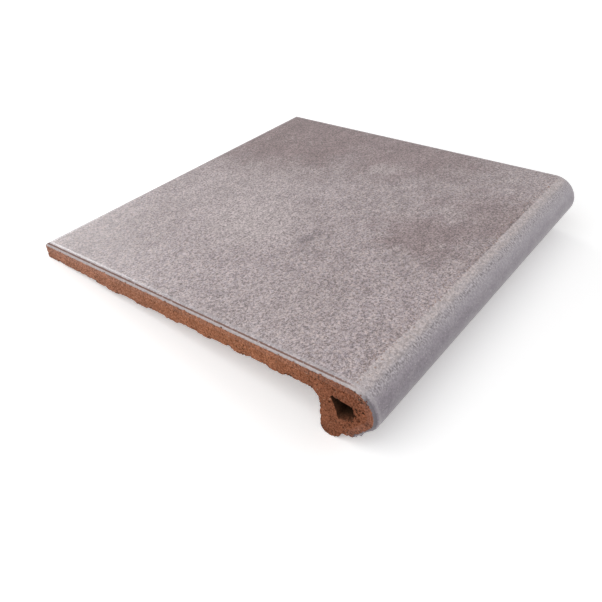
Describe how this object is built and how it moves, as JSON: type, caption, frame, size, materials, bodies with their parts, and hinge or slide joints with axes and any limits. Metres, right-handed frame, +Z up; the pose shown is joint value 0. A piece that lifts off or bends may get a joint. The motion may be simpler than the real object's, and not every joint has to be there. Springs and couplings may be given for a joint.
{
  "type": "stair tread tile",
  "caption": "Extruded clinker stair tread tile with a round hollow nose, a drip lip and groove, a back leg that hooks over the step, and a ribbed underside.",
  "frame": {"origin": "on the floor plane, under the middle of the tile's box as the tile rests unheld", "axes": "+X along the nose, the longest side; -Y towards the nose; +Y towards the back edge; +Z up"},
  "size_m": [0.33, 0.3148, 0.0521],
  "materials": {
    "glazed_clinker": "matt mottled grey-mauve glaze on the tread and nose, plain red-brown fired clay on the cut ends, underside and leg"
  },
  "bodies": {
    "root": {"tread_tile": "glazed_clinker"}
  },
  "joints": []
}
